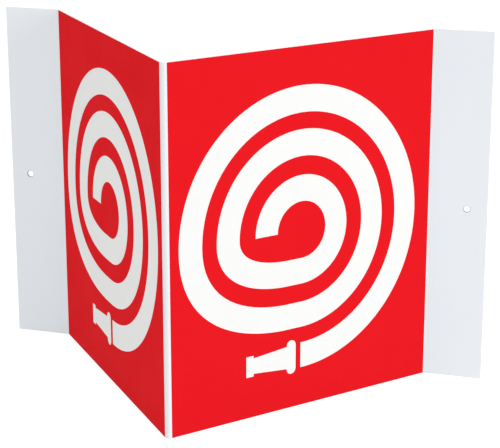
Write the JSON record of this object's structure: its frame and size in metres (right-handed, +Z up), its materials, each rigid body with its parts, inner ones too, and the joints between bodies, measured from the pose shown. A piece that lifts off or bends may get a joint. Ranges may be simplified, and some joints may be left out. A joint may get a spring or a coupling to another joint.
{
  "type": "three-way fire hose sign",
  "caption": "Wall sign folded from one plastic sheet into a V between two screw flanges, with a coiled fire hose and nozzle printed on each side.",
  "frame": {"origin": "on the wall plane, halfway between the two screw holes, at half the sheet's height", "axes": "+X to the right as the sign is faced from the room, +Y into the wall, +Z up; the front edge of the V points to -Y"},
  "size_m": [0.318, 0.146, 0.2222],
  "materials": {
    "white_sheet": "semi-gloss white plastic sheet",
    "red_print": "red screen print, semi-gloss",
    "white_print": "white screen print, semi-gloss"
  },
  "bodies": {
    "root": {"folded_sheet": "white_sheet", "left_red_field": "red_print", "left_hose": "white_print", "left_nozzle": "white_print", "right_red_field": "red_print", "right_hose": "white_print", "right_nozzle": "white_print"}
  },
  "joints": []
}
